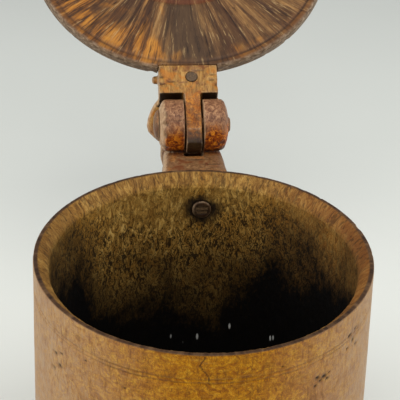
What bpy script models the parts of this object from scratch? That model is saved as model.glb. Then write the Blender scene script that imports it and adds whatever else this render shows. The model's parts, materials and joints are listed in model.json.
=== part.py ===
"""Turned wooden tankard with a hinged lid, a carved handle and a thumb rest, lid open on its stop."""
from math import atan2, cos, hypot, pi, radians, sin

import bmesh
import bpy
from mathutils import Vector

MM = 0.001
GAP = 0.3                      # play between neighbouring pieces

# Body, all lengths in millimetres
RIM_Z = 152.0
RIM_R = 80.0
TAPER = 0.0126                 # growth of the outer radius per mm down
RIM_FLAT = 2.3
BEVEL_W = 5.1
BEVEL_H = 6.0
BORE_R_LOW = 73.6
LINE_DEPTH = 0.7
BODY_LINES = (136.9, 138.9)
BASE_LINES = (12.5, 14.5)
BODY_SIDES = 72

# Bottom board, held in a groove of the wall
BOARD_T = 9.0
BOARD_R = 73.2
TONGUE_R = 75.6
TONGUE_Z = (4.0, 7.2)

# Hinge
PIN_Y = 112.5
PIN_Z = RIM_Z + 8.0
HINGE_X = 2.4
OPEN_DEG = 149.0
EAR_R = 13.6
EAR_HALF = 15.2
DOME_H = 3.4
TONGUE_HALF = 4.1
SLOT_HALF = 5.05
SLOT_R = 16.8
TONGUE_END_R = 14.8
PIN_R = 4.0
RUNNING = 0.05

# Handle tenons through the wall
TENON_R = 5.1
UPPER_TENON_X = 4.8           # the upper tenon sits off the body's centre line
UPPER_TENON_Z = RIM_Z - 19.8
LOWER_TENON_Z = RIM_Z - 120.0
TENONS = ((UPPER_TENON_X, UPPER_TENON_Z), (0.0, LOWER_TENON_Z))
WEDGE_T = 1.0
WEDGE_W = 6.4
WEDGE_L = 6.0

# Lid, described closed
SEAT_Z = RIM_Z + 0.3
LID_R = 83.0
LID_EDGE = 6.9
LID_LINE_R = 78.4
RECESS_R = 41.5
RECESS_D = 0.9
LID_SIDES = 72

# Lid arm, described closed
BAR_HALF = 15.6
BAR_BACK_Y = 97.3
NOTCH_Y = 79.6                 # flat cut in the lid's edge that the bar is let into
BAR_X = 0.6
BAR_TOP = 13.0
TAB_HALF = 9.0
TAB_END_Y = 93.0
TAB_Z = (3.2, 6.0)
PEG_R = 2.9
ARM_PEG_Y = 87.2
STRAP_PEGS_Y = (73.0, 58.0)
STRAP_END_Y = 46.0
CREST_R = (15.0, 21.0)
LEAF_DEG = 85.0
LEAF_END_R = 45.0
LEAF_HALF_T = 3.5


def clear_scene():
    for item in list(bpy.data.objects):
        bpy.data.objects.remove(item, do_unlink=True)
    for mesh in list(bpy.data.meshes):
        bpy.data.meshes.remove(mesh)


def wood(name, colour, roughness):
    material = bpy.data.materials.new(name)
    material.use_nodes = True
    shader = material.node_tree.nodes["Principled BSDF"]
    shader.inputs["Base Color"].default_value = (*colour, 1.0)
    shader.inputs["Roughness"].default_value = roughness
    shader.inputs["Metallic"].default_value = 0.0
    return material


def solid(name, points, faces):
    mesh = bpy.data.meshes.new(name)
    mesh.from_pydata([Vector(p) * MM for p in points], [], faces)
    shape = bmesh.new()
    shape.from_mesh(mesh)
    bmesh.ops.remove_doubles(shape, verts=shape.verts, dist=1e-7)
    bmesh.ops.recalc_face_normals(shape, faces=shape.faces)
    shape.to_mesh(mesh)
    shape.free()
    item = bpy.data.objects.new(name, mesh)
    bpy.context.scene.collection.objects.link(item)
    return item


def lathe(name, profile, sides, axis="Z", centre=(0.0, 0.0, 0.0), hollow=False, phase=0.0):
    """Revolve (radius, height) pairs; a hollow profile is a closed loop, else it starts and ends on the axis."""
    points = []
    rows = []
    for radius, height in profile:
        row = []
        count = 1 if radius < 1e-6 else sides
        for i in range(count):
            turn = 2.0 * pi * i / sides + phase
            a = radius * cos(turn)
            b = radius * sin(turn)
            local = {"Z": (a, b, height), "X": (height, a, b), "Y": (a, height, b)}[axis]
            row.append(len(points))
            points.append(tuple(c + v for c, v in zip(centre, local)))
        rows.append(row)
    faces = []
    last = len(rows) if hollow else len(rows) - 1
    for k in range(last):
        low = rows[k]
        high = rows[(k + 1) % len(rows)]
        for i in range(sides):
            j = (i + 1) % sides
            ring = [low[i % len(low)], low[j % len(low)], high[j % len(high)], high[i % len(high)]]
            face = list(dict.fromkeys(ring))
            if len(face) > 2:
                faces.append(face)
    return solid(name, points, faces)


def cylinder(name, radius, start, end, axis, centre, sides=32, phase=0.0):
    return lathe(name, [(0, start), (radius, start), (radius, end), (0, end)], sides, axis, centre, phase=phase)


def block(name, low, high):
    x0, y0, z0 = low
    x1, y1, z1 = high
    points = [(x, y, z) for z in (z0, z1) for y in (y0, y1) for x in (x0, x1)]
    faces = [(0, 2, 3, 1), (4, 5, 7, 6), (0, 1, 5, 4), (2, 6, 7, 3), (0, 4, 6, 2), (1, 3, 7, 5)]
    return solid(name, points, faces)


def slab(name, outline, x0, x1):
    """Extrude a (y, z) outline along X."""
    count = len(outline)
    points = [(x0, y, z) for y, z in outline] + [(x1, y, z) for y, z in outline]
    faces = [tuple(range(count)), tuple(range(2 * count - 1, count - 1, -1))]
    for i in range(count):
        j = (i + 1) % count
        faces.append((i, j, count + j, count + i))
    return solid(name, points, faces)


def loft(name, stations, sides, power, x0):
    """Skin rounded-box sections; a station is centre y, z, direction, half thickness, half width."""
    points = []
    for y, z, heading, half_t, half_w in stations:
        normal = (-sin(heading), cos(heading))
        for i in range(sides):
            turn = 2.0 * pi * (i + 0.5) / sides
            u = abs(cos(turn)) ** power * (1 if cos(turn) > 0 else -1) * half_w
            v = abs(sin(turn)) ** power * (1 if sin(turn) > 0 else -1) * half_t
            points.append((x0 + u, y + normal[0] * v, z + normal[1] * v))
    faces = [tuple(range(sides)), tuple(range(len(points) - 1, len(points) - sides - 1, -1))]
    for k in range(len(stations) - 1):
        for i in range(sides):
            j = (i + 1) % sides
            base = k * sides
            faces.append((base + i, base + j, base + sides + j, base + sides + i))
    return solid(name, points, faces)


def smooth_path(knots, per_span):
    """Catmull-Rom curve through knots of (y, z, half thickness, half width)."""
    result = []
    ends = [knots[0], *knots, knots[-1]]
    for k in range(1, len(ends) - 2):
        for step in range(per_span):
            t = step / per_span
            point = []
            for a, b, c, d in zip(ends[k - 1], ends[k], ends[k + 1], ends[k + 2]):
                value = 2 * b + (c - a) * t + (2 * a - 5 * b + 4 * c - d) * t * t + (3 * b - a - 3 * c + d) * t ** 3
                point.append(value / 2)
            result.append(tuple(point))
    result.append(tuple(knots[-1]))
    return result


def with_headings(path):
    stations = []
    for k, (y, z, half_t, half_w) in enumerate(path):
        before = path[max(k - 1, 0)]
        after = path[min(k + 1, len(path) - 1)]
        heading = atan2(after[1] - before[1], after[0] - before[0])
        stations.append((y, z, heading, half_t, half_w))
    return stations


def combine(target, tool, operation):
    change = target.modifiers.new("combine", "BOOLEAN")
    change.operation = operation
    change.solver = "EXACT"
    change.object = tool
    graph = bpy.context.evaluated_depsgraph_get()
    graph.update()
    mesh = bpy.data.meshes.new_from_object(target.evaluated_get(graph))
    target.modifiers.clear()
    target.data = mesh
    bpy.data.objects.remove(tool, do_unlink=True)
    return target


def join(target, *tools):
    for tool in tools:
        combine(target, tool, "UNION")
    return target


def cut(target, *tools):
    for tool in tools:
        combine(target, tool, "DIFFERENCE")
    return target


def polar(radius, degrees):
    """Point at an angle about the pin, measured from straight back towards straight up."""
    return PIN_Y + radius * cos(radians(degrees)), PIN_Z + radius * sin(radians(degrees))


def outer_radius(z):
    return RIM_R + TAPER * (RIM_Z - z)


def bore_radius(z):
    top = RIM_R - RIM_FLAT - BEVEL_W
    return BORE_R_LOW + (top - BORE_R_LOW) * z / (RIM_Z - BEVEL_H)


def body_wall():
    outside = [(outer_radius(0) - 1.2, 0.0), (outer_radius(0), 1.4)]
    for z in (*BASE_LINES, *BODY_LINES):
        radius = outer_radius(z)
        outside += [(radius, z - 0.6), (radius - LINE_DEPTH, z), (radius, z + 0.6)]
    outside += [(RIM_R, RIM_Z - 0.9), (RIM_R - 0.7, RIM_Z)]
    top = RIM_R - RIM_FLAT
    inside = [(top, RIM_Z), (top - BEVEL_W * 0.45, RIM_Z - BEVEL_H * 0.38)]
    inside += [(bore_radius(RIM_Z - BEVEL_H), RIM_Z - BEVEL_H), (bore_radius(90.0), 90.0)]
    low, high = TONGUE_Z
    groove = TONGUE_R + GAP
    for radius, z in ((BORE_R_LOW, high + 1.2), (groove, high + GAP), (groove, low - GAP), (BORE_R_LOW, low - 1.2)):
        inside.append((radius, z))
    inside.append((BORE_R_LOW, 0.0))
    wall = lathe("body_wall", outside + inside, BODY_SIDES, hollow=True, phase=pi / BODY_SIDES)
    for x, z in TENONS:
        cut(wall, cylinder("hole", TENON_R + GAP, 60.0, 95.0, "Y", (x, 0, z), 24))
    return wall


def bottom_board():
    low, high = TONGUE_Z
    profile = [(0, 0), (BOARD_R - 0.8, 0), (BOARD_R, 0.8), (BOARD_R, low - 0.9), (TONGUE_R, low)]
    profile += [(TONGUE_R, high), (BOARD_R, high + 0.9), (BOARD_R, BOARD_T - 0.6), (BOARD_R - 0.6, BOARD_T), (0, BOARD_T)]
    return lathe("bottom_board", profile, BODY_SIDES, phase=pi / BODY_SIDES)


def body_envelope(grow):
    profile = [(0, -5), (outer_radius(-5) + grow, -5), (outer_radius(RIM_Z + 30) + grow, RIM_Z + 30), (0, RIM_Z + 30)]
    return lathe("envelope", profile, BODY_SIDES, phase=pi / BODY_SIDES)


def handle():
    knots = [
        (72.0, RIM_Z - 16.0, 12.5, 18.0),
        (86.0, RIM_Z - 16.0, 12.2, 17.0),
        (97.0, RIM_Z - 17.0, 12.0, 15.6),
        (107.5, RIM_Z - 21.5, 11.6, 14.6),
        (115.5, RIM_Z - 33.0, 10.8, 13.6),
        (119.0, RIM_Z - 52.0, 9.6, 12.8),
        (117.5, RIM_Z - 76.0, 8.6, 12.2),
        (110.5, RIM_Z - 99.0, 8.2, 11.8),
        (98.0, RIM_Z - 114.0, 8.4, 11.6),
        (84.0, RIM_Z - 119.5, 9.2, 12.0),
        (72.0, RIM_Z - 120.0, 10.0, 12.6),
    ]
    grip = loft("handle", with_headings(smooth_path(knots, 3)), 24, 0.55, 0.8)
    barrel = [(0, -EAR_HALF - DOME_H + 0.6), (9.0, -EAR_HALF - DOME_H + 0.6), (12.4, -EAR_HALF - 1.2)]
    barrel += [(EAR_R, -EAR_HALF + 0.4), (EAR_R, EAR_HALF - 0.4), (12.4, EAR_HALF + 1.2)]
    barrel += [(9.0, EAR_HALF + DOME_H - 0.9), (4.6, EAR_HALF + DOME_H), (0, EAR_HALF + DOME_H)]
    pin_centre = (HINGE_X, PIN_Y, PIN_Z)
    join(grip, lathe("barrel", barrel, 40, "X", pin_centre))
    join(grip, neck())
    cut(grip, body_envelope(GAP))
    for x, z in TENONS:
        end = bore_radius(z) - 1.0
        join(grip, cylinder("tenon", TENON_R, end, 92.0, "Y", (x, 0, z), 24))
    cut(grip, tongue_slot(), thumb_seat())
    cut(grip, cylinder("pin_hole", PIN_R + RUNNING, -40, 40, "X", pin_centre, 32))
    for x0, x1, z in wedge_places():
        y0 = bore_radius(z) - 3.0
        low = (x0 - 0.2, y0, z - WEDGE_T / 2 - 0.15)
        high = (x1 + 0.2, bore_radius(z) - 1.0 + WEDGE_L + GAP, z + WEDGE_T / 2 + 0.15)
        cut(grip, block("wedge_slot", low, high))
    return grip


def neck():
    """Flat-topped neck from the wall to under the ears, wider where it meets the wall."""
    rows = ((72.0, 15.2, 11.4, 19.6), (84.0, 15.0, 11.4, 17.8), (95.0, 15.0, 11.2, 16.6), (106.0, 15.2, 11.0, 16.0))
    rows += ((114.0, 16.0, 10.0, 15.4),)
    stations = [(y, RIM_Z - drop, 0.0, half_t, half_w) for y, drop, half_t, half_w in rows]
    return loft("neck", stations, 28, 0.36, HINGE_X)


def tongue_slot():
    """Room for the lid arm's tongue: round under the pin, open above it and behind it."""
    inner = SLOT_R
    outline = [(polar(60, 180)[0], PIN_Z + 40), (polar(60, 180)[0], PIN_Z)]
    outline += [polar(inner, a) for a in range(180, 271, 10)]
    outline += [(PIN_Y + 1.0, PIN_Z - 22), (PIN_Y + 40, PIN_Z - 22), (PIN_Y + 40, PIN_Z + 40)]
    return slab("slot", outline, HINGE_X - SLOT_HALF, HINGE_X + SLOT_HALF)


def thumb_seat():
    """Everything behind the plane that the thumb rest leans on when the lid is open."""
    angle = LEAF_DEG - OPEN_DEG
    along = (cos(radians(angle)), sin(radians(angle)))
    across = (sin(radians(angle)), -cos(radians(angle)))
    front = LEAF_HALF_T + GAP
    outline = []
    for run, rise in ((EAR_R - 0.5, front), (60, front), (60, -40), (EAR_R + 0.5, -40), (EAR_R + 0.5, 0)):
        outline.append((PIN_Y + along[0] * run + across[0] * rise, PIN_Z + along[1] * run + across[1] * rise))
    return slab("seat", outline, -40, 40)


def wedge_places():
    upper = UPPER_TENON_Z
    half = WEDGE_W / 2
    low, high = UPPER_TENON_X - half, UPPER_TENON_X + half
    return ((low, high, upper + 0.9), (low + 0.6, high - 0.4, upper - 1.3), (-half, half, LOWER_TENON_Z))


def wedges():
    names = ("upper_tenon_wedge", "upper_tenon_thin_wedge", "lower_tenon_wedge")
    made = []
    for name, (x0, x1, z) in zip(names, wedge_places()):
        start = bore_radius(z) - 1.0 - 0.3
        thin = WEDGE_T / 2 - 0.2
        outline = [(start, z - WEDGE_T / 2), (start + WEDGE_L, z - thin), (start + WEDGE_L, z + thin)]
        outline.append((start, z + WEDGE_T / 2))
        made.append(slab(name, outline, x0, x1))
    return made


def hinge_pin():
    left = -EAR_HALF - DOME_H + 0.6
    profile = [(0, left - 3.0), (4.5, left - 2.6), (7.2, left - 1.6), (8.4, left - GAP), (PIN_R, left - GAP)]
    profile += [(PIN_R, EAR_HALF + DOME_H + 0.2), (PIN_R - 0.8, EAR_HALF + DOME_H + 0.9), (0, EAR_HALF + DOME_H + 1.1)]
    return lathe("hinge_pin", profile, 32, "X", (HINGE_X, PIN_Y, PIN_Z))


def lid_top(grow):
    """Upper side of the lid from its edge to its centre, raised by grow."""
    rows = ((LID_R, 1.6), (LID_R, LID_EDGE - 1.4), (LID_R - 1.6, LID_EDGE), (72.0, LID_EDGE + 0.8), (70.5, LID_EDGE + 2.4))
    rows += ((60.0, 10.6), (50.0, 12.0), (48.8, 13.2), (30.0, 14.8), (15.0, 15.6), (0.0, 15.9))
    raised = []
    for radius, height in rows:
        wide = radius + grow if radius > LID_R - 1 else radius
        raised.append((wide, SEAT_Z + height + grow))
    return raised


def lid_disc():
    line = LID_LINE_R
    under = [(0, SEAT_Z + RECESS_D), (RECESS_R - 0.8, SEAT_Z + RECESS_D), (RECESS_R, SEAT_Z)]
    under += [(line - 0.5, SEAT_Z), (line, SEAT_Z + 0.7), (line + 0.5, SEAT_Z), (LID_R - 1.0, SEAT_Z)]
    disc = lathe("lid_disc", under + lid_top(0.0), LID_SIDES, phase=pi / LID_SIDES)
    edge = block("notch", (BAR_X - BAR_HALF - GAP, NOTCH_Y, SEAT_Z - 5), (BAR_X + BAR_HALF + GAP, 95, SEAT_Z + 30))
    cut(disc, edge)
    tab_low = (-TAB_HALF, NOTCH_Y - 5, SEAT_Z + TAB_Z[0])
    join(disc, block("tab", tab_low, (TAB_HALF, TAB_END_Y, SEAT_Z + TAB_Z[1])))
    cut(disc, cylinder("hole", PEG_R + 0.25, SEAT_Z - 5, SEAT_Z + 30, "Z", (HINGE_X, ARM_PEG_Y, 0), 20))
    for y in STRAP_PEGS_Y:
        cut(disc, cylinder("hole", PEG_R + 0.25, SEAT_Z + 2.6, SEAT_Z + 40, "Z", (0, y, 0), 20))
    return disc


def tongue_outline():
    outline = [(84.0, SEAT_Z), (PIN_Y + 5.6, SEAT_Z), (PIN_Y + 10.6, SEAT_Z + 1.3)]
    outline += [polar(TONGUE_END_R, a) for a in range(-20, 91, 10)]
    outline += [(PIN_Y - 12, PIN_Z + TONGUE_END_R - 0.5), (84.0, SEAT_Z + BAR_TOP - 1.0)]
    return outline


def crest():
    """Shell over the ears, from the arm's bar to the foot of the thumb leaf."""
    low, high = CREST_R
    middle = (low + high) / 2
    widths = ((172, 15.6), (158, 18.4), (145, 20.4), (132, 21.8), (120, 22.4), (110, 21.6), (100, 18.6), (92, 15.6))
    stations = []
    for degrees, half_w in widths:
        y, z = polar(middle, degrees)
        stations.append((y, z, radians(degrees - 90), (high - low) / 2, half_w))
    return loft("crest", stations, 24, 0.6, 1.0)


def leaf():
    """Upright thumb rest, thinner and narrower towards its rounded tip."""
    rows = ((13.5, 15.0, 1.0), (20.0, 15.2, 1.0), (28.0, 15.0, 0.98), (36.0, 13.6, 0.92), (41.0, 11.0, 0.85))
    rows += ((44.0, 7.6, 0.7), (LEAF_END_R, 5.0, 0.5))
    stations = []
    for radius, half_w, thin in rows:
        y, z = polar(radius, LEAF_DEG)
        stations.append((y, z, radians(LEAF_DEG), LEAF_HALF_T * thin, half_w))
    return loft("leaf", stations, 24, 0.6, 1.0)


def strap():
    rows = ((98.0, 9.0, 4.0, 12.0), (88.0, 10.5, 4.0, 12.0), (78.0, 11.6, 4.0, 11.0), (66.0, 13.4, 4.0, 9.6))
    rows += ((56.0, 15.0, 3.6, 8.4), (49.0, 15.8, 3.0, 6.4), (STRAP_END_Y, 16.2, 2.0, 3.6))
    path = [(y, SEAT_Z + z, half_t, half_w) for y, z, half_t, half_w in rows]
    return loft("strap", with_headings(path), 20, 0.6, 0.0)


def lid_envelope():
    profile = [(0, SEAT_Z - 10), (LID_R + GAP, SEAT_Z - 10), *lid_top(GAP)]
    envelope = lathe("envelope", profile, LID_SIDES, phase=pi / LID_SIDES)
    low = (BAR_X - BAR_HALF - 0.01, NOTCH_Y + GAP, SEAT_Z - 20)
    return cut(envelope, block("notch", low, (BAR_X + BAR_HALF + 0.01, 95, SEAT_Z + 30)))


def roll():
    """Small carved roll across the arm where the strap leaves the bar."""
    ends = ((0, -18.8), (1.5, -18.6), (2.3, -17.6), (2.3, 13.5), (1.5, 14.5), (0, 14.7))
    return lathe("roll", ends, 16, "X", (BAR_X, 82.2, PIN_Z + 3.6))


def lid_arm():
    front = NOTCH_Y + GAP
    bar = [(front, SEAT_Z), (BAR_BACK_Y, SEAT_Z), (BAR_BACK_Y, PIN_Z), (BAR_BACK_Y - 1.5, SEAT_Z + BAR_TOP)]
    bar += [(86.0, SEAT_Z + BAR_TOP), (front, SEAT_Z + BAR_TOP - 2.0)]
    arm = slab("lid_arm", bar, BAR_X - BAR_HALF, BAR_X + BAR_HALF)
    join(arm, crest(), leaf(), strap(), roll())
    for side in (-1, 1):
        inner = HINGE_X + side * (TONGUE_HALF + 0.03)
        ends = sorted((inner - HINGE_X, side * 45.0))
        clearance = cylinder("clear", EAR_R + 0.8, ends[0], ends[1], "X", (HINGE_X, PIN_Y, PIN_Z), 40)
        cut(arm, clearance)
    join(arm, slab("tongue", tongue_outline(), HINGE_X - TONGUE_HALF, HINGE_X + TONGUE_HALF))
    cut(arm, lid_envelope())
    mortise_low = (-TAB_HALF - GAP, 70, SEAT_Z + TAB_Z[0] - GAP)
    cut(arm, block("mortise", mortise_low, (TAB_HALF + GAP, TAB_END_Y + GAP, SEAT_Z + TAB_Z[1] + GAP)))
    cut(arm, cylinder("pin_hole", PIN_R + RUNNING, -20, 20, "X", (HINGE_X, PIN_Y, PIN_Z), 32))
    cut(arm, cylinder("hole", PEG_R + 0.25, SEAT_Z - 5, SEAT_Z + 30, "Z", (HINGE_X, ARM_PEG_Y, 0), 20))
    for y in STRAP_PEGS_Y:
        cut(arm, cylinder("hole", PEG_R + 0.25, SEAT_Z + 2, SEAT_Z + 40, "Z", (0, y, 0), 20))
    return arm


def peg(name, x, y, low, high):
    profile = [(0, low), (PEG_R, low), (PEG_R, high - 0.8), (PEG_R - 0.9, high), (0, high)]
    return lathe(name, profile, 20, "Z", (x, y, 0))


def lid_pegs():
    made = [peg("arm_tab_peg", HINGE_X, ARM_PEG_Y, SEAT_Z + 0.1, SEAT_Z + BAR_TOP + 2.8)]
    tops = (SEAT_Z + 17.2, SEAT_Z + 19.4)
    for name, y, top in zip(("strap_peg_outer", "strap_peg_inner"), STRAP_PEGS_Y, tops):
        made.append(peg(name, 0, y, SEAT_Z + 2.9, top))
    return made


def open_lid(items):
    """Hang the closed-lid pieces on the pin's axis and swing them back to the stop."""
    pivot = bpy.data.objects.new("lid_pivot", None)
    bpy.context.scene.collection.objects.link(pivot)
    centre = Vector((HINGE_X, PIN_Y, PIN_Z)) * MM
    pivot.location = centre
    pivot.rotation_euler = (radians(-OPEN_DEG), 0.0, 0.0)
    for item in items:
        for vertex in item.data.vertices:
            vertex.co -= centre
        item.parent = pivot


def finish(item, material, angle=35.0):
    item.data.materials.clear()
    item.data.materials.append(material)
    for face in item.data.polygons:
        face.material_index = 0
    item.data.name = item.name
    item.data.set_sharp_from_angle(angle=radians(angle))


def main():
    clear_scene()
    burl = wood("body_burl", (0.27, 0.155, 0.062), 0.46)
    figured = wood("lid_wood", (0.15, 0.085, 0.04), 0.5)
    carved = wood("carved_wood", (0.24, 0.12, 0.045), 0.48)
    dark = wood("peg_wood", (0.09, 0.05, 0.024), 0.55)
    grip = handle()
    fixed = [(body_wall(), burl), (bottom_board(), burl), (grip, carved), (hinge_pin(), carved)]
    fixed += [(item, dark) for item in wedges()]
    moving = [(lid_disc(), figured), (lid_arm(), carved)]
    moving += [(item, dark) for item in lid_pegs()]
    for item, material in fixed + moving:
        finish(item, material)
    open_lid([item for item, material in moving])


main()
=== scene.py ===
"""Looks for the lidded wooden tankard: aged turned burl, carved handle and hinge, lid leaning open."""
import json
from math import cos, pi, radians, sin

import bpy
import numpy as np
from mathutils import Matrix, Vector


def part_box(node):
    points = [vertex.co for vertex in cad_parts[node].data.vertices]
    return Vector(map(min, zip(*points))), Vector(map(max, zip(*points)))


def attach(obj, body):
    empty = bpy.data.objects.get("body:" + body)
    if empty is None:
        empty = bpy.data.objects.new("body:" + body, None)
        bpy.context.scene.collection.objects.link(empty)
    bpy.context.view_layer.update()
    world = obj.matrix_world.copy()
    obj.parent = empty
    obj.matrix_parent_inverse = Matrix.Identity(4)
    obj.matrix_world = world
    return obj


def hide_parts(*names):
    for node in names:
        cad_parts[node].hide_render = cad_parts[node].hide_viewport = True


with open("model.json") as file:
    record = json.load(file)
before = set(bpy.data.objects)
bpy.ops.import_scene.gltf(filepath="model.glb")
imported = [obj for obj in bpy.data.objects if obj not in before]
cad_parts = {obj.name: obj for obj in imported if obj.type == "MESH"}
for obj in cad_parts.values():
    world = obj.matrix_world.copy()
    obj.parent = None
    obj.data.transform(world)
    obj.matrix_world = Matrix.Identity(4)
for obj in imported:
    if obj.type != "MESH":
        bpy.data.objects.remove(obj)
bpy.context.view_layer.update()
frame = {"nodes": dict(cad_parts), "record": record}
MM = 0.001

# The lid's hinge, from the record. Joint value 0 is the open lid, so SWING carries a shut lid to rest.
JOINT = frame["record"]["behaviour"]["joints"][0]
PIN = Vector(JOINT["pos_m"])
PIN_MM = np.array(PIN) / MM
OPEN_ANGLE = radians(JOINT["range_deg"][0])
SWING = Matrix.Translation(PIN) @ Matrix.Rotation(OPEN_ANGLE, 4, "X") @ Matrix.Translation(-PIN)

# The drum, in millimetres, as in the CAD. Its outside lies SKIN_IN inside the CAD's.
RIM_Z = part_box("body_wall")[1].z / MM
RIM_R = 80.0
TAPER = 0.0126
MOUTH_R = 77.7
BEVEL_DROP = 6.0
WALL_TOP_R = 72.6
WALL_LOW_R = 73.6
GROOVE_R = 75.9
INCISED_Z = (136.9, 138.9, 12.5, 14.5)
SKIN_IN = 0.1
# Depth below the rim over which the inside darkens, by staining and by painted shade
STAIN_AND_SHADE_DEPTH = 110.0
TENON_HOLE_R = 5.35
UPPER_TENON_X = 4.8
UPPER_TENON_Z = RIM_Z - 19.8
LOWER_TENON_Z = RIM_Z - 120.0

# The lid, in millimetres from its own axis and its underside. LID_R is a little inside the CAD's.
SEAT_Z = RIM_Z + 0.3
LID_R = 82.7
LID_EDGE = 6.9
LID_LINE_R = 78.4
RECESS_R = 41.5
RECESS_D = 0.9
LID_TOP = ((72.0, 7.7), (70.5, 9.3), (60.0, 10.6), (50.0, 12.0), (48.8, 13.2), (30.0, 14.8),
           (15.0, 15.6), (0.0, 15.9))
LID_STEPS_R = (49.4, 71.3)
NOTCH_Y = 79.6
BAR_X = 0.6
BAR_HALF = 15.6
BAR_BACK_Y = (95.5, 99.5)
TAB_HALF = 9.0
TAB_Z = (3.2, 6.0)
TAB_Y = 84.0
PEG_HOLE_R = 3.15
ARM_PEG_Y = 87.2
STRAP_PEGS_Y = (73.0, 58.0)
PEGS = ("upper_tenon_wedge", "upper_tenon_thin_wedge", "lower_tenon_wedge",
        "arm_tab_peg", "strap_peg_outer", "strap_peg_inner")

# The view: metres from the rim's centre, three angles, lens length, and how far to the right of and
# above the camera's axis the rim's centre shows, per unit of distance
VIEW_DISTANCE = 0.751
VIEW_RISE = radians(32.88)
VIEW_SIDE = radians(-5.22)
VIEW_ROLL = radians(1.80)
VIEW_LENS = 144.09
RIM_SLOPES = (0.0023735, -0.0337289)

# Carved wood from dark grain to pale, and the setting in metres
HANDLE_TONES = ((0.24, 0.145, 0.08), (0.43, 0.30, 0.185), (0.58, 0.44, 0.29))
ARM_TONES = ((0.33, 0.19, 0.07), (0.58, 0.415, 0.19), (0.75, 0.575, 0.32))
FLOOR_SIZE = 8.0
SKY_STRENGTH = 0.46

# Worm holes outside the drum: distance round from the front, height, radius
WORM_PITS = ((49.5, 127.6, 1.3), (51.5, 125.4, 1.0), (53.6, 126.8, 1.5), (55.8, 124.4, 1.0),
             (48.6, 123.6, 1.0), (57.0, 127.2, 0.8), (72.0, 139.0, 1.2), (75.0, 135.0, 1.3),
             (77.0, 140.5, 1.0), (70.0, 133.0, 0.8), (78.5, 131.0, 1.0), (-84.0, 126.0, 1.2),
             (-80.5, 121.0, 1.2), (-86.0, 117.0, 1.0), (-79.0, 128.5, 0.8), (30.0, 141.0, 0.6),
             (-41.0, 128.0, 0.6), (-62.0, 134.0, 0.6))

# The short crack below the rim in front: distance round from the front, height
CRACK_PATH = ((-5.6, RIM_Z), (-5.2, RIM_Z - 1.6), (-7.6, RIM_Z - 5.4), (-3.6, RIM_Z - 11.0),
              (-3.0, RIM_Z - 15.5))

# Cracks in the lid's underside: bearing in degrees about its axis, inner radius, outer radius, half width
RADIAL_CRACKS = ((97.0, 36.0, 64.0, 0.32), (80.0, 58.0, 76.0, 0.3), (112.0, 48.0, 70.0, 0.25),
                 (63.0, 40.0, 78.0, 0.28), (133.0, 52.0, 79.0, 0.3), (44.0, 62.0, 80.0, 0.3),
                 (150.0, 60.0, 80.0, 0.25), (20.0, 50.0, 79.0, 0.3), (200.0, 40.0, 78.0, 0.3),
                 (255.0, 30.0, 70.0, 0.3), (310.0, 45.0, 79.0, 0.3))

# Chips and knife marks, with the lid shut: centre, half sizes, depth. Heights in EAR_GOUGES are from the pin.
ARM_GOUGES = (((-13.6, 91.5, SEAT_Z), (3.2, 0.6, 1.5), 0.6), ((-9.0, 90.4, SEAT_Z), (3.2, 0.5, 1.5), 0.5),
              ((-13.6, 87.2, SEAT_Z), (1.7, 0.9, 1.5), 0.7), ((13.2, 86.1, SEAT_Z), (1.9, 0.5, 1.5), 0.7),
              ((12.8, 89.3, SEAT_Z), (1.7, 0.5, 1.5), 0.7), ((15.4, 92.0, SEAT_Z), (1.5, 1.6, 2.0), 0.8),
              ((-15.0, 82.0, SEAT_Z), (1.4, 1.4, 2.0), 0.8), ((6.0, 83.5, SEAT_Z), (3.4, 0.4, 1.0), 0.3))
EAR_GOUGES = (((-12.8, 100.9, 6.6), (1.8, 1.7, 1.3), 1.4), ((-12.8, 99.4, 0.5), (1.5, 1.6, 1.7), 0.9),
              ((-12.8, 104.0, 10.4), (1.6, 1.3, 1.6), 0.8), ((17.4, 100.0, -4.0), (1.4, 1.2, 1.6), 0.8),
              ((-12.8, 101.5, -7.5), (1.6, 1.6, 1.2), 0.9), ((8.0, 99.6, 3.5), (0.5, 0.7, 2.4), 0.4),
              ((-13.2, 105.0, 11.2), (1.4, 2.0, 2.0), 1.2), ((16.5, 103.6, 8.0), (1.2, 1.2, 1.2), 0.8),
              ((14.0, 101.0, 9.5), (2.4, 0.6, 0.6), 0.4), ((-6.0, 101.5, 8.6), (5.0, 0.5, 0.5), 0.35))
NECK_GOUGES = (((12.0, 92.0, RIM_Z - 3.6), (6.0, 0.6, 1.0), 0.5),
               ((4.0, 97.0, RIM_Z - 3.6), (7.0, 0.5, 1.0), 0.4))
HANDLE_GOUGES = tuple(((x, y, PIN_MM[2] + z), size, deep)
                      for (x, y, z), size, deep in EAR_GOUGES) + NECK_GOUGES


# ---------------------------------------------------------------- numbers

def lattice(cells, seed):
    """Repeatable pseudo-random values in 0..1 for whole-number cells."""
    n = cells[..., 0] * 1619 + cells[..., 1] * 31337 + cells[..., 2] * 6971 + seed * 1013
    n = n.astype(np.int64) & 0x7FFFFFFF
    n = ((n >> 13) ^ n) & 0x7FFFFFFF
    n = (n * ((n * n * 60493 + 19990303) & 0x7FFFFFFF) + 1376312589) & 0x7FFFFFFF
    return n / 0x7FFFFFFF


def field(points, scale, seed=0):
    """Smooth noise in -1..1; scale is cells per millimetre, one number or three."""
    p = points * np.array(scale, float)
    base = np.floor(p)
    t = p - base
    t = t * t * (3 - 2 * t)
    cell = base.astype(np.int64)
    total = np.zeros(len(points))
    for i in (0, 1):
        for j in (0, 1):
            for k in (0, 1):
                corner = lattice(cell + np.array((i, j, k)), seed)
                weight = np.abs(1 - i - t[:, 0]) * np.abs(1 - j - t[:, 1]) * np.abs(1 - k - t[:, 2])
                total += corner * weight
    return total * 2 - 1


def layered(points, scale, octaves, seed=0):
    """Smooth noise with finer and fainter copies of itself added."""
    total = np.zeros(len(points))
    size = 1.0
    for k in range(octaves):
        total += size * field(points, np.array(scale, float) * 2 ** k, seed + 17 * k)
        size *= 0.5
    return total


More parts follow.
